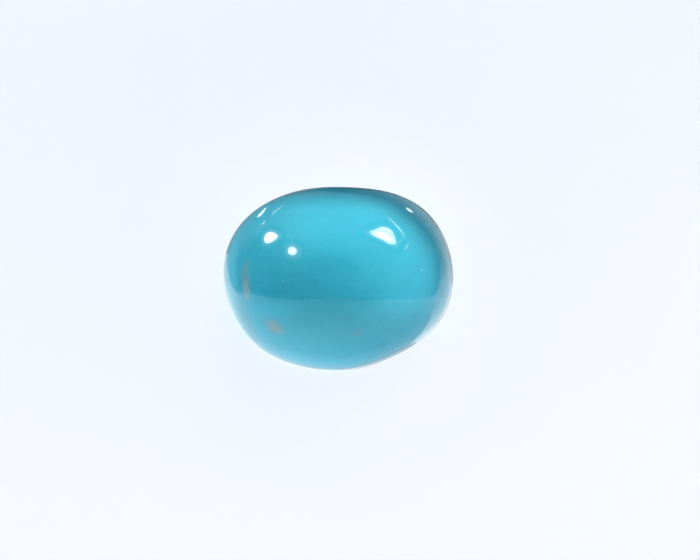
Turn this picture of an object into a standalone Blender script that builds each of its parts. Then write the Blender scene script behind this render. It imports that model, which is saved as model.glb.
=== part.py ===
"""An oval turquoise cabochon with a high dome, lying on its flat back.

Metres, +Z up. The back lies in the plane Z = 0, the long axis is X, and the
origin is under the middle of the stone.
"""
import math

import bmesh
import bpy

# Driving dimensions, in metres
LENGTH = 0.0120
WIDTH = 0.0097
HEIGHT = 0.0072

# The wall stands on a small bevel and leans in a little up to the girdle line,
# where the dome starts.
BACK_BEVEL = 0.0002
GIRDLE_HEIGHT = 0.0013
WALL_LEAN = math.radians(1.5)

# How far the dome's shoulder fills out beyond half an ellipse
SHOULDER = 0.08

# The hand-cut outline strays from a true ellipse by a few slow waves round the
# stone: how many, then the cosine and sine parts as fractions of the radius.
# They fade out up the dome, which is smooth at its top.
OUTLINE_WAVES = (
    (3, 0.0088, 0.0121),
    (4, -0.0125, -0.0026),
    (5, -0.0016, -0.0043),
    (6, -0.0052, -0.0044),
)

# Fineness of the turned mesh
SIDES = 72
DOME_STEPS = 20

STONE_NAME = "turquoise_cabochon"
TURQUOISE = (0.045, 0.42, 0.55, 1.0)
POLISH_ROUGHNESS = 0.08
WELD_DISTANCE = 1e-7


def clear_scene():
    """Remove every object of the start-up scene."""
    for old_object in list(bpy.data.objects):
        bpy.data.objects.remove(old_object, do_unlink=True)


def dome_profile(radius):
    """Return (radius, height) points down the stone's outer side, top to bottom."""
    dome_height = HEIGHT - GIRDLE_HEIGHT
    points = []
    for step in range(DOME_STEPS + 1):
        turn = 0.5 * math.pi * step / DOME_STEPS
        fullness = 1.0 + SHOULDER * math.sin(turn) ** 2
        height = GIRDLE_HEIGHT + dome_height * math.cos(turn) * fullness
        points.append((radius * math.sin(turn), height))
    foot = radius + (GIRDLE_HEIGHT - BACK_BEVEL) * math.tan(WALL_LEAN)
    points.append((foot, BACK_BEVEL))
    points.append((foot - BACK_BEVEL, 0.0))
    points.append((0.0, 0.0))
    return points


def turned_stone(radius):
    """Turn the profile round Z with a Screw modifier and return the welded mesh."""
    profile = bpy.data.meshes.new("stone_profile")
    points = dome_profile(radius)
    edges = [(i, i + 1) for i in range(len(points) - 1)]
    profile.from_pydata([(r, 0.0, z) for r, z in points], edges, [])
    turned = bpy.data.objects.new("stone_profile", profile)
    bpy.context.scene.collection.objects.link(turned)

    screw = turned.modifiers.new("turn", "SCREW")
    screw.axis = "Z"
    screw.angle = 2.0 * math.pi
    screw.steps = SIDES
    screw.render_steps = SIDES
    screw.use_merge_vertices = True
    screw.merge_threshold = WELD_DISTANCE

    depsgraph = bpy.context.evaluated_depsgraph_get()
    mesh = bpy.data.meshes.new_from_object(turned.evaluated_get(depsgraph))
    bpy.data.objects.remove(turned, do_unlink=True)

    welded = bmesh.new()
    welded.from_mesh(mesh)
    bmesh.ops.remove_doubles(welded, verts=welded.verts, dist=WELD_DISTANCE)
    bmesh.ops.recalc_face_normals(welded, faces=welded.faces)
    welded.to_mesh(mesh)
    welded.free()
    return mesh


def oval_radius(angle, share):
    """Return the distance from the middle of the oval at an angle from +X.

    share is how far out the section lies: 0 at the dome's top, 1 at the outline.
    """
    ellipse = 1.0 / math.hypot(2.0 * math.cos(angle) / LENGTH, 2.0 * math.sin(angle) / WIDTH)
    stray = 0.0
    for waves, cosine_part, sine_part in OUTLINE_WAVES:
        stray += cosine_part * math.cos(waves * angle) + sine_part * math.sin(waves * angle)
    return ellipse * (1.0 + stray * share ** 2)


def draw_out_to_oval(mesh, radius):
    """Draw each round section of the turned mesh out to its oval."""
    for vertex in mesh.vertices:
        share = min(1.0, math.hypot(vertex.co.x, vertex.co.y) / radius)
        stretch = oval_radius(math.atan2(vertex.co.y, vertex.co.x), share) / radius
        vertex.co.x *= stretch
        vertex.co.y *= stretch


def fit_to_size(mesh):
    """Centre the mesh over the origin, exactly LENGTH by WIDTH in plan."""
    for axis, size in ((0, LENGTH), (1, WIDTH)):
        places = [vertex.co[axis] for vertex in mesh.vertices]
        middle = 0.5 * (max(places) + min(places))
        stretch = size / (max(places) - min(places))
        for vertex in mesh.vertices:
            vertex.co[axis] = (vertex.co[axis] - middle) * stretch


def turquoise_material():
    """Return the polished turquoise material."""
    material = bpy.data.materials.new("polished_turquoise")
    material.use_nodes = True
    shader = material.node_tree.nodes["Principled BSDF"]
    shader.inputs["Base Color"].default_value = TURQUOISE
    shader.inputs["Roughness"].default_value = POLISH_ROUGHNESS
    shader.inputs["Metallic"].default_value = 0.0
    material.diffuse_color = TURQUOISE
    return material


def build_stone():
    """Make the stone, the one piece of the part, in its own collection."""
    mean_radius = 0.25 * (LENGTH + WIDTH)
    mesh = turned_stone(mean_radius)
    mesh.name = STONE_NAME
    draw_out_to_oval(mesh, mean_radius)
    fit_to_size(mesh)
    mesh.materials.clear()
    mesh.materials.append(turquoise_material())
    mesh.shade_smooth()
    mesh.set_sharp_from_angle(angle=math.radians(35.0))

    collection = bpy.data.collections.new("Turquoise cabochon")
    bpy.context.scene.collection.children.link(collection)
    collection.objects.link(bpy.data.objects.new(STONE_NAME, mesh))


clear_scene()
build_stone()
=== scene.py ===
"""A polished oval turquoise cabochon with a high dome, lying on its flat back.

The stone's skin is made by one Geometry Nodes tree from the stone's own sizes.
Its finish is one procedural material. The stage is a pale floor that rises into
a low bowl, with soft studio light and the bright shapes that the polish mirrors.
"""
import logging
import math
from dataclasses import dataclass, field
from enum import Enum

import bmesh
import bpy
from mathutils import Matrix, Vector


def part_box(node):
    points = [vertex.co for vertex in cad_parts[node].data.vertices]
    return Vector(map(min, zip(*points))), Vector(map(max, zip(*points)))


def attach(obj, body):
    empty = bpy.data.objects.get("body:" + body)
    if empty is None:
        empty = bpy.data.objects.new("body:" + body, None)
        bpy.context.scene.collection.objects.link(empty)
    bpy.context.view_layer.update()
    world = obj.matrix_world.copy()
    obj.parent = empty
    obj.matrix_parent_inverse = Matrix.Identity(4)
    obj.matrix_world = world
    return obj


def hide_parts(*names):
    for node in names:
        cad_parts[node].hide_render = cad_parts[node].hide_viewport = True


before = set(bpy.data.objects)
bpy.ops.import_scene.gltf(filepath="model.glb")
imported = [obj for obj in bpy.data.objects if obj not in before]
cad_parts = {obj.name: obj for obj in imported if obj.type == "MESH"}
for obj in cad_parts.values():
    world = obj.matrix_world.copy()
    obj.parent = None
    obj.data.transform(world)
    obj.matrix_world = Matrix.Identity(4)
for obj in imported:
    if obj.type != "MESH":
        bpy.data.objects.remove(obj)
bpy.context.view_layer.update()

log = logging.getLogger("cabochon")

MM = 0.001
STONE_NODE = "turquoise_cabochon"
ROOT_BODY = "root"

Colour = tuple[float, float, float]
Triple = tuple[float, float, float]
Pairs = tuple[tuple[float, float], ...]
Ring = list[tuple[Vector, float]]

WHITE: Colour = (1.0, 1.0, 1.0)
FULL_SPREAD = 180.0


def rgba(colour: Colour) -> tuple[float, float, float, float]:
    """Return the colour with full alpha."""
    return (*colour, 1.0)


def grey(value: float) -> Colour:
    """Return the room's faintly cool grey of a given brightness."""
    return (value * 0.97, value * 0.985, value)


def direction(azimuth: float, elevation: float) -> Vector:
    """Return the unit vector of a direction seen from the stone.

    Args:
        azimuth: degrees from +X towards +Y.
        elevation: degrees above the horizon.

    Returns:
        The direction as a unit vector.
    """
    turn, rise = math.radians(azimuth), math.radians(elevation)
    return Vector((math.cos(turn) * math.cos(rise), math.sin(turn) * math.cos(rise), math.sin(rise)))


def put_in_scene(name: str, data: bpy.types.ID) -> bpy.types.Object:
    """Return a new object that holds the data, in the scene's own collection."""
    thing = bpy.data.objects.new(name, data)
    bpy.context.scene.collection.objects.link(thing)
    return thing


@dataclass(frozen=True)
class Wire:
    """An output socket on which Python's arithmetic adds Math nodes."""

    maker: "NodeMaker"
    socket: bpy.types.NodeSocket | None

    def _math(self, operation: str, *values: "Wire | float") -> "Wire":
        """Return the result of one Math node."""
        return self.maker.add("ShaderNodeMath", {"operation": operation}, dict(enumerate(values)))

    def __add__(self, other: "Wire | float") -> "Wire":
        """Return self + other."""
        return self._math("ADD", self, other)

    def __radd__(self, other: float) -> "Wire":
        """Return other + self."""
        return self._math("ADD", other, self)

    def __sub__(self, other: "Wire | float") -> "Wire":
        """Return self - other."""
        return self._math("SUBTRACT", self, other)

    def __rsub__(self, other: float) -> "Wire":
        """Return other - self."""
        return self._math("SUBTRACT", other, self)

    def __mul__(self, other: "Wire | float") -> "Wire":
        """Return self * other."""
        return self._math("MULTIPLY", self, other)

    def __rmul__(self, other: float) -> "Wire":
        """Return other * self."""
        return self._math("MULTIPLY", other, self)

    def __truediv__(self, other: "Wire | float") -> "Wire":
        """Return self / other."""
        return self._math("DIVIDE", self, other)

    def __rtruediv__(self, other: float) -> "Wire":
        """Return other / self."""
        return self._math("DIVIDE", other, self)

    def apply(self, operation: str, *others: "Wire | float") -> "Wire":
        """Return a Math node of this value, such as SINE or MINIMUM."""
        return self._math(operation, self, *others)

    def span(self, low: "Wire | float", high: "Wire | float", smooth: bool = False) -> "Wire":
        """Return a share that rises from 0 at low to 1 at high and stays there.

        Args:
            low: the value at which the share starts to rise.
            high: the value at which it reaches 1.
            smooth: whether it eases in and out.

        Returns:
            The share.
        """
        kind = "SMOOTHSTEP" if smooth else "LINEAR"
        sockets = {"Value": self, "From Min": low, "From Max": high, "To Min": 0.0, "To Max": 1.0}
        return self.maker.add("ShaderNodeMapRange", {"interpolation_type": kind, "clamp": True}, sockets)

    def out(self, name: str) -> "Wire":
        """Return another output of the same node."""
        return Wire(self.maker, self.maker.pick(self.socket.node.outputs, name))


class NodeMaker:
    """Adds nodes to one node tree and links their sockets."""

    def __init__(self, tree: bpy.types.NodeTree) -> None:
        """Keep the tree that the nodes go into."""
        self.tree = tree

    @classmethod
    def emptied(cls, owner: bpy.types.Material | bpy.types.World) -> "NodeMaker":
        """Return a maker for the cleared nodes of a material or a world."""
        owner.use_nodes = True
        owner.node_tree.nodes.clear()
        return cls(owner.node_tree)

    @staticmethod
    def pick(sockets: bpy.types.bpy_prop_collection, key: str | int) -> bpy.types.NodeSocket:
        """Return a socket by its place, or the first one in use that has the name."""
        if isinstance(key, int):
            return sockets[key]
        return next(socket for socket in sockets if socket.name == key and socket.enabled)

    @staticmethod
    def _set_stops(ramp: bpy.types.ColorRamp, stops: list[tuple[float, Colour]]) -> None:
        """Set a colour ramp's stops, each a position and a colour."""
        while len(ramp.elements) < len(stops):
            ramp.elements.new(1.0)
        for element, (position, colour) in zip(ramp.elements, stops):
            element.position = position
            element.color = rgba(colour)

    def add(
        self,
        kind: str,
        settings: dict[str, object] | None = None,
        sockets: dict[str | int, object] | None = None,
        output: str | None = None,
    ) -> Wire:
        """Add one node.

        Args:
            kind: the node's type.
            settings: its properties, and a ramp's "stops", which are set first.
            sockets: its inputs by name or place, each a value or a Wire.
            output: the output to return, or None for the first one in use.

        Returns:
            That output as a Wire, an empty one on a tree's last node.
        """
        node = self.tree.nodes.new(kind)
        for name, value in (settings or {}).items():
            if name == "stops":
                self._set_stops(node.color_ramp, value)
            else:
                setattr(node, name, value)
        for key, value in (sockets or {}).items():
            socket = self.pick(node.inputs, key)
            if isinstance(value, Wire):
                self.tree.links.new(value.socket, socket)
            else:
                socket.default_value = value
        if output is None:
            return Wire(self, next((socket for socket in node.outputs if socket.enabled), None))
        return Wire(self, self.pick(node.outputs, output))

    def vector(self, operation: str, *values: "Wire | Triple", **named: object) -> Wire:
        """Return the result of one Vector Math node."""
        sockets = {**dict(enumerate(values)), **{name.capitalize(): value for name, value in named.items()}}
        return self.add("ShaderNodeVectorMath", {"operation": operation}, sockets)

    def mix(self, share: Wire | float, first: "Wire | Colour", second: "Wire | Colour") -> Wire:
        """Return a blend of two colours.

        Args:
            share: how much of the second colour there is, from 0 to 1.
            first: the colour at share 0.
            second: the colour at share 1.

        Returns:
            The blended colour.
        """
        low, high = (end if isinstance(end, Wire) else rgba(end) for end in (first, second))
        return self.add("ShaderNodeMix", {"data_type": "RGBA"}, {"Factor": share, "A": low, "B": high})

    def noise(self, place: Wire, scale: float, detail: float = 2.0, roughness: float = 0.5) -> Wire:
        """Return a noise value from 0 to 1.

        Args:
            place: the point at which it is read.
            scale: waves per unit of place.
            detail: how many finer layers it has.
            roughness: how strong the finer layers are.

        Returns:
            The noise value.
        """
        sockets = {"Vector": place, "Scale": scale, "Detail": detail, "Roughness": roughness}
        return self.add("ShaderNodeTexNoise", {"noise_dimensions": "3D"}, sockets)


class Tint(Enum):
    """The colours of the marks in the stone; the last four are clouds, partly clouding and partly painted
    light and shade.
    """

    STREAK = (0.205, 0.260, 0.235)
    PALE_END = (0.330, 0.460, 0.480)
    TAIL = (0.110, 0.260, 0.320)
    PATCH = (0.298, 0.292, 0.236)
    PATCH_EDGE = (0.260, 0.270, 0.250)
    PATCH_RIM = (0.290, 0.270, 0.240)
    RED_SPOT = (0.270, 0.120, 0.050)
    PALE_SPECK = (0.30, 0.75, 0.85)
    DIM_SPECK = (0.25, 0.70, 0.80)
    DARK_SPOT = (0.015, 0.25, 0.40)
    # Darker clouds: partly clouding, partly painted shade
    CLOUD_AND_PAINTED_SHADE = (0.014, 0.28, 0.43)
    RIM_CLOUD_AND_PAINTED_SHADE = (0.020, 0.24, 0.33)
    # Paler clouds: partly clouding, partly painted light
    CLOUD_AND_PAINTED_LIGHT = (0.055, 0.58, 0.78)
    RIM_CLOUD_AND_PAINTED_LIGHT = (0.050, 0.56, 0.75)


@dataclass(frozen=True)
class Mark:
    """A patch of another colour in the stone's surface, in millimetres."""

    centre: Triple
    along: Triple
    outward: Triple
    length: float
    width: float
    strength: float
    tint: Tint
    softness: float = 0.42
    depth: float = 1.6
    raggedness: float = 0.8
    graininess: float = 0.45

    def mask(self, maker: NodeMaker, place: Wire) -> Wire:
        """Return how strongly the mark shows at a point.

        Args:
            maker: adds the nodes.
            place: the point, in millimetres.

        Returns:
            The mark's share, from 0 to 1.
        """
        outward = Vector(self.outward).normalized()
        along = Vector(self.along)
        along = (along - outward * along.dot(outward)).normalized()
        across = outward.cross(along)
        offset = maker.vector("SUBTRACT", place, self.centre)
        reach: Wire | float = 0.0
        for axis, size in ((along, self.length), (across, self.width), (outward, self.depth)):
            part = maker.vector("DOT_PRODUCT", offset, tuple(axis / (size / 2)))
            reach = reach + part * part
        ragged = maker.noise(place, 2.6, 4.0, 0.6) - 0.5
        edge = reach.apply("SQRT") + ragged * self.raggedness
        grain = maker.noise(place, 6.0, 2.0).span(0.25, 0.7)
        inside = 1.0 - edge.span(1.0 - self.softness, 1.0 + self.softness, smooth=True)
        return inside * (1.0 - self.graininess + self.graininess * grain)


@dataclass(frozen=True)
class CloudWithPaintedShading(Mark):
    """A broad soft cloud in the stone's body, partly its clouding and partly painted light and shade."""

    softness: float = 0.8
    depth: float = 2.0


# Host rock: the streak, its pale end and its tail, then the patch and the red spot
MARKS = (
    Mark((-4.43, 0.06, 5.49), (0.03, 1, 0.05), (-0.71, -0.02, 0.7), 1.85, 0.72, 0.47, Tint.STREAK, 0.55),
    Mark((-4.45, -0.44, 5.44), (0.03, 1, 0), (-0.72, -0.12, 0.69), 0.9, 0.52, 0.4, Tint.PALE_END, 0.6),
    Mark((-4.55, -2.2, 4.22), (-0.13, 0.74, 0.66), (-0.74, -0.51, 0.44), 2.2, 0.55, 0.2, Tint.TAIL, 0.6),
    Mark((-3.13, -2.44, 5.58), (-0.55, 0.8, 0), (-0.45, -0.56, 0.69), 0.8, 0.78, 0.48, Tint.PATCH, 0.6),
    Mark((-3.1, -2.42, 5.6), (-0.55, 0.8, 0), (-0.45, -0.56, 0.69), 1.4, 1.1, 0.14, Tint.PATCH_EDGE, 0.8),
    Mark((-2.82, -2.66, 5.61), (1, -0.25, 0), (-0.39, -0.61, 0.69), 0.62, 0.4, 0.2, Tint.PATCH_RIM, 0.6),
    Mark((1.22, -3.08, 5.78), (1, 0.1, 0), (0.2, -0.7, 0.69), 0.5, 0.36, 0.2, Tint.RED_SPOT, 0.7),
)

# Lighter and darker places that leave the polish even: small specks, and clouds that are partly clouding and
# partly painted light and shade
TINTS_AND_PAINTED_SHADING = (
    Mark((-2.35, -0.18, 6.81), (1, 0, 0), (-0.34, -0.06, 0.94), 0.13, 0.13, 0.3, Tint.PALE_SPECK, 0.3, 0.3),
    Mark((4.7, -0.05, 5.12), (1, 0.3, 0), (0.78, -0.02, 0.62), 0.16, 0.11, 0.28, Tint.PALE_SPECK, 0.3, 0.3),
    Mark((-3.45, -0.28, 6.27), (1, 0, 0), (-0.53, -0.09, 0.84), 0.14, 0.12, 0.16, Tint.DIM_SPECK, 0.3, 0.3),
    Mark((-1.74, 1.93, 6.6), (1, 0, 0), (-0.23, 0.41, 0.88), 0.12, 0.12, 0.24, Tint.PALE_SPECK, 0.3, 0.3),
    Mark((1.52, 0.16, 7.03), (0.3, 1, 0), (0.21, 0.02, 0.98), 0.42, 0.3, 0.16, Tint.DARK_SPOT, 0.8, 0.8),
    Mark((2.28, 0.42, 6.8), (1, 0.4, 0), (0.33, 0.08, 0.94), 0.34, 0.26, 0.14, Tint.DARK_SPOT, 0.8, 0.8),
    Mark((1.9, -0.95, 6.75), (1, 0.2, 0), (0.3, -0.2, 0.93), 0.4, 0.26, 0.12, Tint.DARK_SPOT, 0.8, 0.8),
    # The clouds paint shade over the dome's middle and on the left-front and right rims, and paint light on
    # the left and front rims and on parts of the top
    CloudWithPaintedShading((-1.3, -0.8, 6.9), (1, 0.05, 0), (-0.2, -0.2, 0.96), 5.2, 2.2, 0.26, Tint.CLOUD_AND_PAINTED_SHADE, 0.9, 6),
    CloudWithPaintedShading((-3, -1.55, 6.2), (1, -0.05, 0.4), (-0.45, -0.33, 0.83), 3, 1, 0.38, Tint.CLOUD_AND_PAINTED_LIGHT),
    CloudWithPaintedShading((-5.2, 1.6, 3.8), (0.1, -0.9, 0.35), (-0.86, 0.33, 0.38), 3.2, 1.4, 0.5, Tint.RIM_CLOUD_AND_PAINTED_LIGHT),
    CloudWithPaintedShading((-4.85, -1.95, 3.95), (0.12, -0.72, -0.65), (-0.79, -0.45, 0.4), 3.2, 1.5, 0.55, Tint.RIM_CLOUD_AND_PAINTED_SHADE),
    CloudWithPaintedShading((-0.5, -4.5, 3.4), (1, -0.02, -0.15), (-0.05, -0.95, 0.3), 6, 1.8, 0.5, Tint.RIM_CLOUD_AND_PAINTED_LIGHT, depth=2.4),
    CloudWithPaintedShading((5.5, -1.2, 3.2), (-0.15, -0.95, -0.1), (0.92, -0.27, 0.28), 3.6, 1.6, 0.5, Tint.RIM_CLOUD_AND_PAINTED_SHADE),
    CloudWithPaintedShading((3.25, -1.8, 5.9), (1, 0, -0.65), (0.49, -0.45, 0.75), 2.2, 1.3, 0.3, Tint.CLOUD_AND_PAINTED_LIGHT),
    CloudWithPaintedShading((-0.2, 1.8, 6.85), (1, 0, 0), (-0.03, 0.38, 0.93), 3.8, 1.8, 0.3, Tint.CLOUD_AND_PAINTED_LIGHT, 0.9, 3),
)


@dataclass(frozen=True)
class BodyColours:
    """The colours of the stone's body."""

    body: Colour = (0.033, 0.394, 0.517)
    cloud: Colour = (0.040, 0.430, 0.548)
    deep: Colour = (0.025, 0.337, 0.468)
    speck: Colour = (0.140, 0.520, 0.640)
    vein: Colour = (0.080, 0.300, 0.400)
    lapped: Colour = (0.085, 0.430, 0.560)


@dataclass(frozen=True)
class Layer:
    """A layer of noise that blends the stone's body towards another colour."""

    colour: Colour
    strength: float
    scale: float
    roughness: float
    low: float
    high: float
    detail: float = 3.0
    smooth: bool = False
    shift: Triple = (0.0, 0.0, 0.0)

    def share(self, maker: NodeMaker, place: Wire) -> Wire:
        """Return how much of its colour shows at a point, from 0 to 1."""
        noise = maker.noise(maker.vector("ADD", place, self.shift), self.scale, self.detail, self.roughness)
        return noise.span(self.low, self.high, smooth=self.smooth) * self.strength


@dataclass(frozen=True)
class StoneFinish:
    """Polished turquoise on the dome, a duller wall and a lapped back."""

    name: str = "polished_turquoise"
    colours: BodyColours = BodyColours()
    refraction: float = 1.61
    polish: float = 0.035
    wall_roughness: float = 0.05
    mark_roughness: float = 0.16
    lapped_roughness: float = 0.46
    back_top: float = 0.14
    wall_top: float = 1.25
    vein_width: float = 0.028
    vein_strength: float = 0.16
    speck_strength: float = 0.35
    lapped_strength: float = 0.8
    smear: float = 0.012
    rock_relief: float = 0.006
    lapped_relief: float = 0.004

    def _body_colour(self, maker: NodeMaker, place: Wire) -> Wire:
        """Return the stone's clouded colour with its veins and fine specks."""
        colours = self.colours
        colour: Wire | Colour = colours.body
        for layer in (
            Layer(colours.cloud, 1.0, 0.33, 0.55, 0.38, 0.66, smooth=True),
            Layer(colours.deep, 0.5, 0.62, 0.6, 0.56, 0.74, detail=4.0, smooth=True, shift=(7.0, 3.0, 5.0)),
            Layer(colours.deep, 0.24, 2.4, 0.6, 0.35, 0.7),
            Layer(colours.deep, 0.22, 6.5, 0.6, 0.35, 0.7),
        ):
            colour = maker.mix(layer.share(maker, place), colour, layer.colour)
        warp = maker.add("ShaderNodeTexNoise", {}, {"Vector": place, "Scale": 0.8, "Detail": 3.0}, "Color")
        bent = maker.vector("ADD", place, maker.vector("SCALE", warp, scale=1.6))
        borders = {"feature": "DISTANCE_TO_EDGE"}
        cells = maker.add("ShaderNodeTexVoronoi", borders, {"Vector": bent, "Scale": 0.42})
        hairline = 1.0 - cells.span(0.0, self.vein_width)
        shown = maker.noise(place, 0.5, 1.0).span(0.55, 0.72)
        colour = maker.mix(hairline * shown * self.vein_strength, colour, colours.vein)
        dots = maker.add("ShaderNodeTexVoronoi", {"feature": "F1"}, {"Vector": place, "Scale": 0.85})
        size = maker.add("ShaderNodeSeparateColor", {}, {0: dots.out("Color")})
        speck = 1.0 - dots.span(0.0, 0.10 * size.apply("POWER", 3.0) + 0.012, smooth=True)
        return maker.mix(speck * self.speck_strength, colour, colours.speck)

    def material(self) -> bpy.types.Material:
        """Build the finish.

        Returns:
            The stone's material.
        """
        material = bpy.data.materials.new(self.name)
        maker = NodeMaker.emptied(material)
        placed = maker.add("ShaderNodeTexCoord", output="Object")
        place = maker.vector("SCALE", placed, scale=1.0 / MM)
        height = maker.add("ShaderNodeSeparateXYZ", {}, {0: place}).out("Z")
        back = 1.0 - height.span(0.02, self.back_top, smooth=True)
        wall = (1.0 - height.span(self.back_top, self.wall_top, smooth=True)) * (1.0 - back)

        colour = self._body_colour(maker, place)
        rock: Wire | float = 0.0
        # The tints' clouds add painted light and shade to the base colour
        for mark in (*TINTS_AND_PAINTED_SHADING, *MARKS):
            share = mark.mask(maker, place) * mark.strength
            colour = maker.mix(share, colour, mark.tint.value)
            if mark in MARKS:
                rock = rock + share
        colour = maker.mix(back * self.lapped_strength, colour, self.colours.lapped)

        smear = maker.noise(place, 0.9, 3.0).span(0.3, 0.7)
        roughness = (
            self.polish + self.smear * smear + self.mark_roughness * rock
            + self.wall_roughness * wall + self.lapped_roughness * back
        )

        grain = maker.noise(place, 14.0, 3.0)
        lines = maker.add(
            "ShaderNodeTexWave", {"wave_type": "BANDS", "bands_direction": "DIAGONAL"},
            {"Vector": place, "Scale": 4.0, "Distortion": 1.5, "Detail": 3.0, "Detail Scale": 1.5},
        )
        relief = grain * rock * self.rock_relief + (grain + lines) * back * self.lapped_relief
        bump = maker.add("ShaderNodeBump", {}, {"Strength": 1.0, "Distance": MM, "Height": relief})

        shader = maker.add(
            "ShaderNodeBsdfPrincipled", {},
            {"Base Color": colour, "Roughness": roughness, "Normal": bump, "IOR": self.refraction},
        )
        maker.add("ShaderNodeOutputMaterial", {}, {"Surface": shader})
        return material


@dataclass(frozen=True)
class Chip:
    """A small chip out of the stone's lower edge, in millimetres."""

    centre: Triple
    radius: float


@dataclass
class Cabochon:
    """The stone: a smooth domed skin over the CAD solid, in metres."""

    length: float = 0.0120
    width: float = 0.0097
    height: float = 0.0072
    girdle_height: float = 0.0013
    back_bevel: float = 0.0002
    wall_lean: float = math.radians(1.5)
    shoulder: float = 0.08
    sides: int = 300
    rings: int = 180
    waviness: float = 0.0000035
    mark_depth: float = 0.000006
    chip_steepness: float = 0.55
    clearance: float = 0.0000002
    outline_waves: tuple[Triple, ...] = (
        (3, 0.0088, 0.0121), (4, -0.0125, -0.0026), (5, -0.0016, -0.0043), (6, -0.0052, -0.0044),
    )
    chips: tuple[Chip, ...] = (
        Chip((6.02, 0.62, 0.8), 0.15), Chip((5.9, -0.9, 0.1), 0.32), Chip((2.1, -4.62, 0.05), 0.26),
        Chip((-3.3, 4.1, 0.08), 0.3), Chip((-5.7, -1.1, 0.06), 0.22), Chip((1.3, 4.8, 0.1), 0.2),
    )
    finish: StoneFinish = field(default_factory=StoneFinish)

    def _tree_inputs(self, tree: bpy.types.NodeTree) -> dict[str, tuple[str, object]]:
        """Give the tree its named inputs.

        Args:
            tree: the Geometry Nodes tree.

        Returns:
            For each input's name, its identifier and the stone's value.
        """
        low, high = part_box(STONE_NODE)
        margin = Vector((self.clearance,) * 3)
        inputs = {
            "Int": {"Sides": self.sides, "Rings": self.rings},
            "Float": {
                "Length": self.length, "Width": self.width, "Height": self.height,
                "Girdle Height": self.girdle_height, "Back Bevel": self.back_bevel,
                "Wall Lean": self.wall_lean, "Shoulder": self.shoulder, "Waviness": self.waviness,
            },
            "Vector": {"Lowest Corner": tuple(low + margin), "Highest Corner": tuple(high - margin)},
            "Material": {"Finish": self.finish.material()},
        }
        made = {}
        for kind, values in inputs.items():
            for name, value in values.items():
                socket = tree.interface.new_socket(name, in_out="INPUT", socket_type="NodeSocket" + kind)
                made[name] = (socket.identifier, value)
        return made

    def _skin_place(self, maker: NodeMaker, sizes: Wire) -> Wire:
        """Return where each point of a unit sphere goes on the stone.

        Args:
            maker: adds the nodes.
            sizes: the tree's inputs.

        Returns:
            The point on the stone, before it is centred.
        """
        quarter = math.pi / 2
        wall_end, bevel_end = 0.22, 0.30
        place = maker.add("GeometryNodeInputPosition")
        x = maker.add("ShaderNodeSeparateXYZ", {}, {0: place})
        y, z = x.out("Y"), x.out("Z")
        turn = z.apply("ARCCOSINE")
        dome_turn = turn.apply("MINIMUM", quarter)
        out, up = dome_turn.apply("SINE"), dome_turn.apply("COSINE")
        under = turn.span(quarter, math.pi)
        wall, bevel = under.span(0.0, wall_end), under.span(wall_end, bevel_end)
        back = under.span(bevel_end, 1.0)

        length, width, girdle = sizes.out("Length"), sizes.out("Width"), sizes.out("Girdle Height")
        edge = sizes.out("Back Bevel")
        radius = (length + width) * 0.25
        foot = (girdle - edge) * sizes.out("Wall Lean").apply("TANGENT") / radius
        share = out * (1.0 + foot * wall - edge / radius * bevel) * (1.0 - back)
        fullness = 1.0 + sizes.out("Shoulder") * out * out
        height = girdle + (sizes.out("Height") - girdle) * up * fullness
        height = height - (girdle - edge) * wall - edge * bevel

        angle = y.apply("ARCTAN2", x)
        cosine, sine = angle.apply("COSINE"), angle.apply("SINE")
        along, across = cosine * 2.0 / length, sine * 2.0 / width
        ellipse = 1.0 / (along * along + across * across).apply("SQRT")
        stray: Wire | float = 0.0
        for waves, cosine_part, sine_part in self.outline_waves:
            wave = angle * waves
            stray = wave.apply("COSINE") * cosine_part + wave.apply("SINE") * sine_part + stray
        rim = share.apply("MINIMUM", 1.0)
        reach = share * ellipse * (1.0 + stray * rim * rim)
        return maker.add("ShaderNodeCombineXYZ", {}, {0: reach * cosine, 1: reach * sine, 2: height})

    def _cut(self, maker: NodeMaker, sizes: Wire) -> Wire:
        """Return how far each point is cut in from the true shape, in metres.

        Args:
            maker: adds the nodes.
            sizes: the tree's inputs.

        Returns:
            The depth along the normal, never negative.
        """
        place = maker.vector("SCALE", maker.add("GeometryNodeInputPosition"), scale=1.0 / MM)
        depth = maker.noise(place, 0.42, 2.0, 0.4) * sizes.out("Waviness")
        for mark in MARKS:
            depth = depth + mark.mask(maker, place) * (self.mark_depth * mark.strength)
        pull: Wire | float = 0.0
        for chip in self.chips:
            away = maker.vector("DISTANCE", place, chip.centre)
            ragged = (maker.noise(place, 3.0, 2.0) - 0.5) * 0.5
            pull = (chip.radius * (1.0 + ragged) - away).apply("MAXIMUM", pull)
        return depth + pull * (self.chip_steepness * MM)

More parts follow.
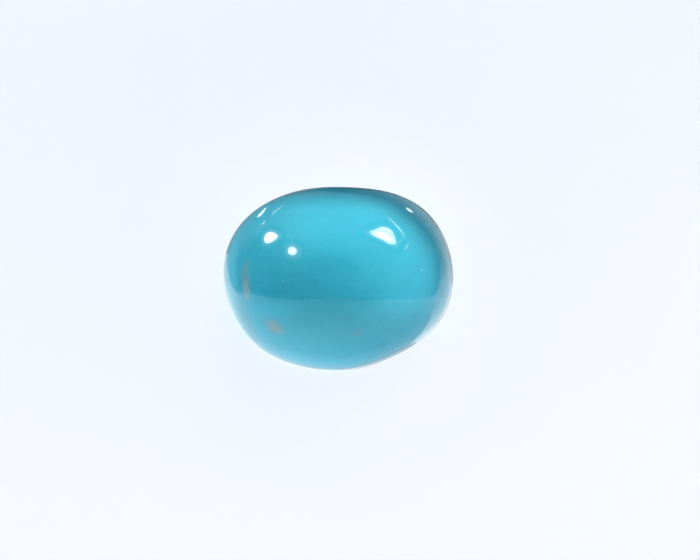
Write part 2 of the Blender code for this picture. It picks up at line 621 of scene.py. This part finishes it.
    def _skin_tree(self) -> tuple[bpy.types.NodeTree, dict[str, tuple[str, object]]]:
        """Build the Geometry Nodes tree of the skin.

        Returns:
            The tree, and for each input's name its identifier and value.
        """
        tree = bpy.data.node_groups.new("cabochon_skin", "GeometryNodeTree")
        tree.is_modifier = True
        inputs = self._tree_inputs(tree)
        tree.interface.new_socket(name="Geometry", in_out="OUTPUT", socket_type="NodeSocketGeometry")
        maker = NodeMaker(tree)
        sizes = maker.add("NodeGroupInput")
        ball = maker.add(
            "GeometryNodeMeshUVSphere", {},
            {"Segments": sizes.out("Sides"), "Rings": sizes.out("Rings"), "Radius": 1.0},
        )
        place = self._skin_place(maker, sizes)
        skin = maker.add("GeometryNodeSetPosition", {}, {"Geometry": ball, "Position": place})
        box = maker.add("GeometryNodeBoundBox", {}, {"Geometry": skin})
        fitted = maker.add(
            "ShaderNodeMapRange", {"data_type": "FLOAT_VECTOR", "clamp": False},
            {
                "Vector": maker.add("GeometryNodeInputPosition"),
                "From Min": box.out("Min"), "From Max": box.out("Max"),
                "To Min": sizes.out("Lowest Corner"), "To Max": sizes.out("Highest Corner"),
            },
        )
        skin = maker.add("GeometryNodeSetPosition", {}, {"Geometry": skin, "Position": fitted})
        normal = maker.add("GeometryNodeInputNormal")
        cut = maker.vector("SCALE", normal, scale=0.0 - self._cut(maker, sizes))
        skin = maker.add("GeometryNodeSetPosition", {}, {"Geometry": skin, "Offset": cut})
        skin = maker.add("GeometryNodeSetShadeSmooth", {}, {"Geometry": skin, "Shade Smooth": True})
        skin = maker.add("GeometryNodeRealizeInstances", {}, {"Geometry": skin})
        skin = maker.add("GeometryNodeSetMaterial", {}, {"Geometry": skin, "Material": sizes.out("Finish")})
        maker.add("NodeGroupOutput", {}, {"Geometry": skin})
        return tree, inputs

    def build(self) -> bpy.types.Object:
        """Make the stone's skin, ride it on the root body and let it replace the CAD solid.

        Returns:
            The finished piece.
        """
        piece = put_in_scene("cabochon_skin", bpy.data.meshes.new("cabochon_skin"))
        modifier = piece.modifiers.new("skin", "NODES")
        tree, inputs = self._skin_tree()
        modifier.node_group = tree
        for identifier, value in inputs.values():
            modifier[identifier] = value
        depsgraph = bpy.context.evaluated_depsgraph_get()
        mesh = bpy.data.meshes.new_from_object(piece.evaluated_get(depsgraph))
        mesh.name = "cabochon_skin"
        piece.data = mesh
        piece.modifiers.clear()
        dressed = mesh.materials[mesh.polygons[0].material_index]
        mesh.materials.clear()
        mesh.materials.append(dressed)
        mesh.polygons.foreach_set("material_index", [0] * len(mesh.polygons))
        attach(piece, ROOT_BODY)
        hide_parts(STONE_NODE)
        return piece


class SeenBy(Enum):
    """Which rays a stage object is there for."""

    MIRROR = "mirror"
    EYE = "eye"


def set_rays(thing: bpy.types.Object, seen_by: SeenBy) -> None:
    """Set which rays meet a stage object.

    Args:
        thing: the object.
        seen_by: MIRROR for what only the polish mirrors, EYE for all but that.
    """
    mirror = seen_by is SeenBy.MIRROR
    thing.visible_glossy = mirror
    thing.visible_camera = not mirror
    thing.visible_diffuse = not mirror
    thing.visible_shadow = not mirror
    thing.visible_transmission = False


@dataclass(frozen=True)
class PaperFinish:
    """Matt white paper for the floor, its colour darkening towards the far side as painted shade."""

    name: str = "matt_paper"
    near_colour: Colour = (0.925, 0.932, 0.985)
    far_painted_shade_colour: Colour = (0.862, 0.898, 0.98)
    away: Triple = (-0.3, 1.0, 0.0)
    near: float = -0.013
    far: float = 0.015
    roughness: float = 0.9

    def material(self) -> bpy.types.Material:
        """Build the paper.

        Returns:
            The floor's material.
        """
        material = bpy.data.materials.new(self.name)
        maker = NodeMaker.emptied(material)
        place = maker.add("ShaderNodeTexCoord", output="Object")
        distance = maker.vector("DOT_PRODUCT", place, self.away).span(self.near, self.far)
        # Painted shade: the paper darkens from the near colour to the far one
        colour = maker.mix(distance, self.near_colour, self.far_painted_shade_colour)
        shader = maker.add(
            "ShaderNodeBsdfPrincipled", {},
            {"Base Color": colour, "Roughness": self.roughness, "Specular IOR Level": 0.0},
        )
        maker.add("ShaderNodeOutputMaterial", {}, {"Surface": shader})
        return material


@dataclass
class PaleFloor:
    """A flat pale floor that rises into a low round wall, in metres."""

    flat_radius: float = 0.18
    bend_radius: float = 0.22
    bend_steps: int = 16
    sides: int = 96
    lip_height: float = 0.20
    gap: float = 0.00001
    finish: PaperFinish = field(default_factory=PaperFinish)

    def _profile(self) -> list[tuple[float, float]]:
        """Return (radius, height) points from the middle of the floor outwards."""
        points = [(0.0, -self.gap), (self.flat_radius, -self.gap)]
        for step in range(1, self.bend_steps + 1):
            turn = 0.5 * math.pi * step / self.bend_steps
            height = self.bend_radius * (1.0 - math.cos(turn)) - self.gap
            if height > self.lip_height:
                break
            points.append((self.flat_radius + self.bend_radius * math.sin(turn), height))
        return points

    def build(self) -> bpy.types.Object:
        """Make the floor as a stage object.

        Returns:
            The floor.
        """
        shape = bmesh.new()
        middle, *outer = self._profile()
        hub = shape.verts.new((0.0, 0.0, middle[1]))
        rings = []
        for radius, height in outer:
            ring = []
            for side in range(self.sides):
                turn = 2.0 * math.pi * side / self.sides
                ring.append(shape.verts.new((radius * math.cos(turn), radius * math.sin(turn), height)))
            rings.append(ring)
        for side in range(self.sides):
            after = (side + 1) % self.sides
            shape.faces.new((hub, rings[0][side], rings[0][after]))
            for inner, outer_ring in zip(rings, rings[1:]):
                shape.faces.new((inner[side], outer_ring[side], outer_ring[after], inner[after]))
        mesh = bpy.data.meshes.new("floor")
        shape.to_mesh(mesh)
        shape.free()
        mesh.shade_smooth()
        mesh.materials.append(self.finish.material())
        floor = put_in_scene("floor", mesh)
        set_rays(floor, SeenBy.EYE)
        return floor


@dataclass(frozen=True)
class GlowFinish:
    """A surface that shines with the strength stored at its points."""

    name: str
    colour: Colour

    def material(self) -> bpy.types.Material:
        """Build the glowing surface.

        Returns:
            Its material.
        """
        material = bpy.data.materials.new(self.name)
        maker = NodeMaker.emptied(material)
        strength = maker.add("ShaderNodeAttribute", {"attribute_name": "glow"}, output="Fac")
        light = maker.add("ShaderNodeEmission", {}, {"Color": rgba(self.colour), "Strength": strength})
        maker.add("ShaderNodeOutputMaterial", {}, {"Surface": light})
        return material


@dataclass
class GlowCard:
    """A bright shape at a distance round the stone, there only for its polish to mirror."""

    name: str
    rings: list[Ring]
    distance: float
    closed: bool = False
    colour: Colour = WHITE

    def build(self) -> bpy.types.Object:
        """Make the card from rings of directions and strengths.

        Returns:
            The card as a stage object.
        """
        points, glows, faces = [], [], []
        for ring in self.rings:
            for aim, glow in ring:
                points.append(aim * self.distance)
                glows.append(glow)
        count = len(self.rings[0])
        for row in range(len(self.rings) - 1):
            for side in range(count if self.closed else count - 1):
                after = (side + 1) % count
                corner = row * count
                faces.append((corner + side, corner + after, corner + count + after, corner + count + side))
        mesh = bpy.data.meshes.new(self.name)
        mesh.from_pydata(points, [], faces)
        store = mesh.attributes.new("glow", "FLOAT", "POINT")
        store.data.foreach_set("value", glows)
        mesh.materials.append(GlowFinish(self.name + "_light", self.colour).material())
        card = put_in_scene(self.name, mesh)
        set_rays(card, SeenBy.MIRROR)
        return card


@dataclass
class LampFace:
    """The lit face of a small lamp, as an outline of directions from the stone, in degrees."""

    name: str
    outline: Pairs
    strength: float
    halo: float
    halo_reach: float = 2.0
    size: float = 1.0
    ribs: float = 0.0
    distance: float = 1.0
    steps: int = 8
    rib_steps: int = 2
    fades: int = 8
    hub: float = 0.001
    halo_start: float = 1.02

    def _smooth_outline(self) -> list[Vector]:
        """Return the outline as a smooth closed loop of unit vectors."""
        corners = [direction(*corner) for corner in self.outline]
        count = len(corners)
        loop = []
        for index in range(count):
            before, start, end, after = (corners[(index + shift) % count] for shift in (-1, 0, 1, 2))
            for step in range(self.steps):
                t = step / self.steps
                point = 0.5 * (
                    2.0 * start + (end - before) * t
                    + (2.0 * before - 5.0 * start + 4.0 * end - after) * t ** 2
                    + (3.0 * start - before - 3.0 * end + after) * t ** 3
                )
                loop.append(point.normalized())
        return loop

    def build(self) -> bpy.types.Object:
        """Make the lamp's lit face with a soft glow round it.

        Returns:
            The card as a stage object.
        """
        loop = self._smooth_outline()
        middle = sum(loop, Vector()).normalized()
        plan = [(self.hub, self.strength, 0.0), (1.0, self.strength, self.ribs)]
        plan.append((self.halo_start, self.halo, 0.0))
        for step in range(1, self.fades + 1):
            share = step / self.fades
            reach = self.halo_start + (self.halo_reach - self.halo_start) * share
            plan.append((reach, self.halo * (1.0 - share) ** 2, 0.0))
        rings: list[Ring] = []
        for reach, glow, ribs in plan:
            ring = []
            for index, aim in enumerate(loop):
                rib = 1.0 + ribs * (-1.0 if index // self.rib_steps % 2 else 1.0)
                ring.append(((middle + (aim - middle) * (reach * self.size)).normalized(), glow * rib))
            rings.append(ring)
        return GlowCard(self.name, rings, self.distance, closed=True).build()


@dataclass
class LampStrip:
    """A thin bright strip, as a line of directions from the stone, in degrees."""

    name: str
    line: Pairs
    width: float
    strength: float
    distance: float = 0.98
    end_share: float = 0.07

    def build(self) -> bpy.types.Object:
        """Make the strip, which fades towards its ends and edges.

        Returns:
            The card as a stage object.
        """
        aims = [direction(*corner) for corner in self.line]
        half = math.radians(self.width) / 2.0
        rings: list[Ring] = [[], [], []]
        for index, aim in enumerate(aims):
            before, after = aims[max(0, index - 1)], aims[min(len(aims) - 1, index + 1)]
            across = aim.cross(after - before).normalized()
            share = index / (len(aims) - 1)
            glow = self.strength * math.sin(math.pi * min(1.0 - self.end_share, max(self.end_share, share)))
            for ring, side, part in zip(rings, (-1.0, 0.0, 1.0), (0.0, 1.0, 0.0)):
                ring.append(((aim + across * (half * side)).normalized(), glow * part))
        return GlowCard(self.name, rings, self.distance).build()


@dataclass
class WhiteSheet:
    """A curved white sheet, as its top edge's directions in degrees with the strengths there and low down."""

    name: str = "white_sheet"
    top_edge: tuple[tuple[float, float, float, float], ...] = (
        (160, -62, 0.9, 0.9), (164, -58, 0.9, 0.9), (175, -48, 1.1, 1.1), (182, -40, 1.3, 1.3),
        (186, -32, 1.3, 1.4), (188, -24, 1.2, 1.4), (190, -6, 1, 1.4), (193, 6, 0.9, 1.4),
        (200, 21, 0.75, 1.35), (208, 33, 0.6, 1.3), (218, 44.5, 0.52, 1.1), (235, 55, 0.48, 0.9),
        (254, 59.5, 0.42, 0.7), (276, 59, 0.4, 0.5), (291, 53.5, 0.42, 0.5), (304, 43.5, 0.48, 0.55),
        (317, 31, 0.75, 0.65), (325, 17.5, 0.9, 0.75), (330, -3, 0.95, 0.9), (335, -20, 1, 0.95),
        (338, -34, 1, 1), (346, -41, 1, 1.05), (355, -42, 0.7, 0.95),
        (363, -42, 0.3, 0.85), (373, -42, 0.12, 0.7), (384, -38, 0.08, 0.58), (398, -34, 0.1, 0.5),
        (410, -30, 0.12, 0.52), (423, -36, 0.1, 0.4), (436, -44, 0.05, 0.28), (455, -54, 0.02, 0.1),
    )
    distance: float = 1.3
    ramp: float = 22.0
    high_ramp: float = 45.0
    low_ramp: float = 35.0
    lowest: float = -89.5
    peak: float = 0.88
    rows: int = 24
    columns: int = 120
    colour: Colour = (0.95, 0.97, 1.0)

    def _top(self, azimuth: float) -> tuple[float, ...]:
        """Return the top edge's elevation and the strengths at the top and low down, at an azimuth."""
        for (start, *first), (end, *last) in zip(self.top_edge, self.top_edge[1:]):
            if azimuth <= end:
                share = (azimuth - start) / (end - start)
                return tuple(a + (b - a) * share for a, b in zip(first, last))
        return self.top_edge[-1][1:]

    def build(self) -> bpy.types.Object:
        """Make the sheet.

        Returns:
            The card as a stage object.
        """
        first, last = self.top_edge[0][0], self.top_edge[-1][0]
        rings: list[Ring] = [[] for _ in range(self.rows + 1)]
        for column in range(self.columns + 1):
            azimuth = first + (last - first) * column / self.columns
            top, glow, low_glow = self._top(azimuth)
            for row, ring in enumerate(rings):
                share = row / self.rows
                elevation = top + (self.lowest - top) * share
                drop = top - elevation
                if top > 0.0:
                    strength = glow + (self.peak - glow) * min(1.0, drop / self.high_ramp)
                    strength += (low_glow - strength) * min(1.0, max(0.0, -elevation) / self.low_ramp)
                else:
                    strength = glow + (low_glow - glow) * min(1.0, drop / self.ramp)
                ring.append((direction(azimuth, elevation), strength))
        return GlowCard(self.name, rings, self.distance, colour=self.colour).build()


@dataclass
class DarkGap:
    """The dark gap between room and white ground on one side, as its top edge's directions in degrees."""

    top_edge: Pairs = (
        (-16, -42), (-9, -39), (2, -36), (14, -35), (25, -33.5), (36, -32), (48, -31),
        (59, -33), (69, -40), (80, -47), (92, -50), (106, -56),
    )
    edge_glow: float = 0.26
    dark_glow: float = 0.02
    fade: float = 9.0
    lowest: float = -86.0
    distance: float = 1.5
    rows: int = 10

    def build(self) -> bpy.types.Object:
        """Make the gap.

        Returns:
            The card as a stage object.
        """
        rings: list[Ring] = [[] for _ in range(self.rows + 1)]
        for azimuth, top in self.top_edge:
            for row, ring in enumerate(rings):
                elevation = top + (self.lowest - top) * (row / self.rows) ** 2
                dark = min(1.0, (top - elevation) / self.fade)
                glow = self.edge_glow + (self.dark_glow - self.edge_glow) * dark
                ring.append((direction(azimuth, elevation), glow))
        return GlowCard("dark_gap", rings, self.distance).build()


@dataclass
class BlackFlag:
    """A low black flag that shades one lower side of the stone, as in studio work, in metres."""

    radii: tuple[float, float] = (0.00818, 0.00676)
    first: float = -27.0
    last: float = 120.0
    foot: float = 0.0003
    height: float = 0.0063
    steepness: float = 1.6
    columns: int = 40
    colour: Colour = (0.02, 0.02, 0.02)

    def build(self) -> bpy.types.Object:
        """Make the flag, which only blocks lamps.

        Returns:
            The flag as a stage object.
        """
        points, faces = [], []
        for column in range(self.columns + 1):
            share = column / self.columns
            turn = math.radians(self.first + (self.last - self.first) * share)
            x, y = self.radii[0] * math.cos(turn), self.radii[1] * math.sin(turn)
            top = self.height * min(1.0, self.steepness * math.sin(math.pi * share))
            points += [(x, y, self.foot), (x, y, max(top, 2.0 * self.foot))]
        for column in range(self.columns):
            corner = 2 * column
            faces.append((corner, corner + 2, corner + 3, corner + 1))
        mesh = bpy.data.meshes.new("black_flag")
        mesh.from_pydata(points, [], faces)
        material = bpy.data.materials.new("black_felt")
        material.use_nodes = True
        shader = material.node_tree.nodes["Principled BSDF"]
        shader.inputs["Base Color"].default_value = rgba(self.colour)
        mesh.materials.append(material)
        flag = put_in_scene("black_flag", mesh)
        flag.visible_camera = flag.visible_glossy = flag.visible_diffuse = False
        return flag


@dataclass
class RoomLight:
    """The room round the stage, with its brightness at heights from 0 to 1 on the bright and dark sides."""

    bright_side: float = 62.0
    side_blend: float = 0.45
    dark_corner: tuple[float, float] = (165.0, 2.0)
    corner_edge: tuple[float, float] = (0.83, 0.90)
    corner_level: float = 0.12
    bright_levels: Pairs = (
        (0.05, 0.14), (0.17, 0.24), (0.22, 0.22), (0.27, 0.34), (0.36, 0.48),
        (0.50, 0.50), (0.66, 0.52), (0.80, 0.44), (0.92, 0.26), (1.0, 0.07),
    )
    dark_levels: Pairs = (
        (0.10, 0.46), (0.21, 0.40), (0.33, 0.34), (0.44, 0.28),
        (0.55, 0.07), (0.72, 0.03), (0.90, 0.04), (1.0, 0.07),
    )

    def build(self) -> bpy.types.World:
        """Build the world.

        Returns:
            The scene's world.
        """
        world = bpy.data.worlds.new("studio_room")
        maker = NodeMaker.emptied(world)
        aim = maker.add("ShaderNodeTexCoord", output="Generated")
        up = maker.add("ShaderNodeSeparateXYZ", {}, {0: aim}).out("Z")
        side = maker.vector("DOT_PRODUCT", aim, tuple(direction(self.bright_side, 0.0)))
        corner = maker.vector("DOT_PRODUCT", aim, tuple(direction(*self.dark_corner)))
        rise = up * 0.5 + 0.5
        sides = []
        for levels in (self.bright_levels, self.dark_levels):
            stops = [(height, grey(level)) for height, level in levels]
            sides.append(maker.add("ShaderNodeValToRGB", {"stops": stops}, {0: rise}))
        bright, dark = sides
        room = maker.mix(side.span(-self.side_blend, self.side_blend, smooth=True), dark, bright)
        room = maker.mix(corner.span(*self.corner_edge, smooth=True), room, grey(self.corner_level))
        light = maker.add("ShaderNodeBackground", {}, {"Color": room, "Strength": 1.0})
        maker.add("ShaderNodeOutputWorld", {}, {"Surface": light})
        bpy.context.scene.world = world
        return world


class Lights(Enum):
    """What a soft lamp lights."""

    STONE = "stone"
    FLOOR = "floor"


def linked_set(name: str, things: list[bpy.types.Object], state: str) -> bpy.types.Collection:
    """Return a collection that a lamp's light linking reads.

    Args:
        name: the collection's name.
        things: the objects that it names.
        state: INCLUDE to link only them, EXCLUDE to link all but them.

    Returns:
        The collection.
    """
    group = bpy.data.collections.new(name)
    for thing in things:
        group.objects.link(thing)
    for member in group.collection_objects:
        member.light_linking.link_state = state
    return group


@dataclass
class Softbox:
    """A soft lamp aimed at the stage's middle, with its direction and its beam's spread in degrees."""

    name: str
    aim: tuple[float, float]
    distance: float
    size: float
    level: float
    lights: Lights
    colour: Colour = WHITE
    shadow: bool = False
    spread: float = FULL_SPREAD

    def build(
        self, stone: bpy.types.Object, floor: bpy.types.Object, flag: bpy.types.Object
    ) -> bpy.types.Object:
        """Make the lamp.

        Args:
            stone: the stone's skin.
            floor: the floor.
            flag: the black flag, which shades only the stone.

        Returns:
            The lamp.
        """
        lamp = bpy.data.lights.new(self.name, "AREA")
        lamp.shape = "DISK"
        lamp.size = self.size
        lamp.color = self.colour
        lamp.spread = math.radians(self.spread)
        lamp.energy = self.level * math.pi ** 2 * self.distance ** 2
        if self.spread < FULL_SPREAD:
            # A narrow beam is brighter along its middle
            lamp.energy *= (lamp.spread / 2.0) ** 2 / 3.0
        holder = put_in_scene(self.name, lamp)
        away = direction(*self.aim)
        turn = away.to_track_quat("Z", "Y").to_matrix().to_4x4()
        holder.matrix_world = Matrix.Translation(away * self.distance) @ turn
        holder.visible_glossy = False
        holder.visible_camera = False
        linking = holder.light_linking
        lit = stone if self.lights is Lights.STONE else floor
        linking.receiver_collection = linked_set(self.name + "_lights", [lit], "INCLUDE")
        passed = [floor] if self.shadow else [stone, floor]
        if self.lights is Lights.FLOOR:
            passed = [*passed, flag]
        linking.blocker_collection = linked_set(self.name + "_passes", passed, "EXCLUDE")
        return holder


@dataclass
class ViewingCamera:
    """The camera, at its angle to the stone."""

    lens: float = 200.0
    sensor: float = 36.0
    frame_width: int = 700
    pixels_per_mm: float = 19.165
    lean_left: float = 5.0
    lean_up: float = 2.0
    roll: float = 4.1
    scale_height: float = 2.5
    frame_middle: tuple[float, float] = (0.5226, -0.0367)
    clip: tuple[float, float] = (0.01, 5.0)

    def build(self) -> bpy.types.Object:
        """Make the camera and set it as the scene's.

        Returns:
            The camera.
        """
        camera = bpy.data.cameras.new("camera")
        camera.lens = self.lens
        camera.sensor_width = self.sensor
        camera.clip_start, camera.clip_end = self.clip
        turn = (
            Matrix.Rotation(math.radians(-self.roll), 3, "Z")
            @ Matrix.Rotation(math.radians(self.lean_up), 3, "X")
            @ Matrix.Rotation(math.radians(self.lean_left), 3, "Y")
        )
        away = self.frame_width * self.lens / self.sensor / self.pixels_per_mm
        leans = (self.lean_left, self.lean_up)
        away += self.scale_height * math.prod(math.cos(math.radians(lean)) for lean in leans)
        place = turn @ Vector((*self.frame_middle, away)) * MM
        holder = put_in_scene("camera", camera)
        holder.matrix_world = Matrix.Translation(place) @ turn.to_4x4()
        bpy.context.scene.camera = holder
        return holder


LAMP_FACES = (
    LampFace("round_lamp", (
        (138.1, 0.5), (134.7, -3), (132, -3.2), (129.9, -0.7), (128.7, 4.6), (129, 10.6),
        (130.1, 13.3), (133.2, 14.6), (136.9, 13.9), (140.2, 10.4), (140.5, 6.5), (139.3, 2.5),
    ), 16.0, 2.4, halo_reach=2.2, size=0.91),
    LampFace("small_round_lamp", (
        (130.5, 45.2), (128.7, 41.5), (128.7, 38.2), (130.5, 35.8), (133.5, 35.7),
        (137, 37.8), (139.7, 40.7), (140.1, 44.3), (138.5, 46.8), (134.6, 47.4),
    ), 15.0, 2.4, halo_reach=3.2, size=0.87),
    LampFace("fan_lamp", (
        (60, 23.7), (58.5, 19.5), (57.1, 14.7), (55.3, 10.1), (53.1, 7.6), (49.1, 6.4),
        (44.7, 6.9), (41.4, 9.4), (36.8, 12.2), (32.8, 14.8), (31.4, 16.9), (33.3, 20.5),
        (35.7, 24.1), (42.5, 25.7), (49.8, 27.5), (56.2, 27),
    ), 10.5, 2.0, halo_reach=1.8, size=0.96, ribs=0.3),
    LampFace("fan_lamp_core", (
        (55.4, 23.4), (54.7, 20.4), (52.5, 17.6), (50.1, 16), (46.3, 16.1), (42, 16.4),
        (38.2, 17), (37, 18.5), (38.4, 21.6), (42.3, 23.5), (47.7, 24.5), (52.4, 24.7),
    ), 26.0, 10.0, halo_reach=1.1, size=0.98, distance=0.96),
    LampFace("left_glint", (
        (129.4, -46.1), (128.5, -49.6), (126.6, -51.2), (124.3, -55.7), (123.4, -53.9),
        (124.1, -49), (125.2, -45.3), (126.6, -42.7), (128.9, -42.1),
    ), 3.4, 0.9, size=0.92),
    LampFace("right_glint", (
        (58.6, -46), (57.8, -48.8), (55.4, -48.3), (52.5, -48), (52, -46.2), (53.5, -43), (56, -43.4),
    ), 5.0, 1.4, size=0.88),
)

LAMP_STRIPS = (
    LampStrip("right_strip", (
        (60, -10.3), (53.2, -7.3), (47.7, -4.8), (43.3, -3.5), (38, -1.7), (32.9, -0.3),
    ), 2.4, 11.0),
    LampStrip("right_short_strip", ((23.3, 11.5), (23.6, 7.7), (25.2, 4), (26.9, -0.7)), 3.0, 5.0),
    LampStrip("right_fleck", ((32.2, 10.9), (32.4, 9), (33.4, 5.5)), 3.0, 3.0),
    LampStrip("left_strip", ((122.2, -28.5), (119, -33.6), (116.8, -35), (113.8, -37.3)), 2.4, 4.2),
    LampStrip("left_short_strip", (
        (131.1, -22.3), (129.7, -23.2), (128.4, -23.8), (126.6, -26.4),
    ), 2.4, 6.5),
    LampStrip("left_long_strip", (
        (154.8, -18.8), (152.5, -15.7), (148.2, -15.4), (144.9, -15.8), (141.7, -16.8),
    ), 2.4, 1.4),
)

# The near sheet's top edge, as azimuth, elevation and the strengths at the edge and low down
NEAR_EDGE = (
    (274, -85, 0.9, 0.9), (286, -78, 1.1, 1), (300, -68, 1.2, 1), (313, -58, 1.25, 1),
    (325, -48, 1.25, 1), (337, -42, 1.2, 1), (346, -42, 1.05, 1), (354, -46, 1, 0.95),
    (362, -60, 0.9, 0.9),
)

# Light from the pale ground, and a warm one that takes the stone's cast off the floor
GROUND_TINT = (0.93, 0.94, 1.06)
WARM_GEL = (1.0, 0.2, 0.0)

SOFTBOXES = (
    Softbox("key_softbox", (54.0, 26.2), 0.6, 0.44, 1.14, Lights.STONE),
    Softbox("low_softbox", (-146.2, -11.2), 0.6, 0.44, 0.57, Lights.STONE, GROUND_TINT),
    Softbox("front_softbox", (-38.0, 4.0), 0.6, 0.44, 0.29, Lights.STONE, GROUND_TINT),
    Softbox("top_softbox", (-156.0, 62.0), 0.6, 0.44, 0.30, Lights.STONE),
    Softbox("floor_softbox", (90.0, 88.0), 0.9, 0.7, 0.765, Lights.FLOOR),
    Softbox("shadow_softbox", (62.0, 48.0), 0.8, 0.4, 0.07, Lights.FLOOR, shadow=True),
    Softbox("warm_spot", (90.0, 89.0), 0.3, 0.003, 0.21, Lights.FLOOR, WARM_GEL, spread=3.7),
)


def look() -> None:
    """Set how the picture's light is turned into colour."""
    settings = bpy.context.scene.view_settings
    settings.view_transform = "Standard"
    settings.look = "None"
    settings.exposure = 0.0
    settings.gamma = 1.0


def report(piece: bpy.types.Object) -> bpy.types.Object:
    """Log how many faces a finished piece has, and return it."""
    log.info("%s: %d faces", piece.name, len(piece.data.polygons))
    return piece


def main() -> None:
    """Build the stone, its stage, the light and the camera."""
    logging.basicConfig(level=logging.INFO, format="%(message)s")
    look()
    stone = report(Cabochon().build())
    floor = report(PaleFloor().build())
    near_sheet = WhiteSheet("near_sheet", NEAR_EDGE, distance=1.2)
    for card in (*LAMP_FACES, *LAMP_STRIPS, WhiteSheet(), near_sheet, DarkGap()):
        report(card.build())
    flag = report(BlackFlag().build())
    for softbox in SOFTBOXES:
        log.info("%s: %.2f W", softbox.name, softbox.build(stone, floor, flag).data.energy)
    log.info("%s", RoomLight().build().name)
    log.info("%s", ViewingCamera().build().name)


if __name__ == "__main__":
    main()
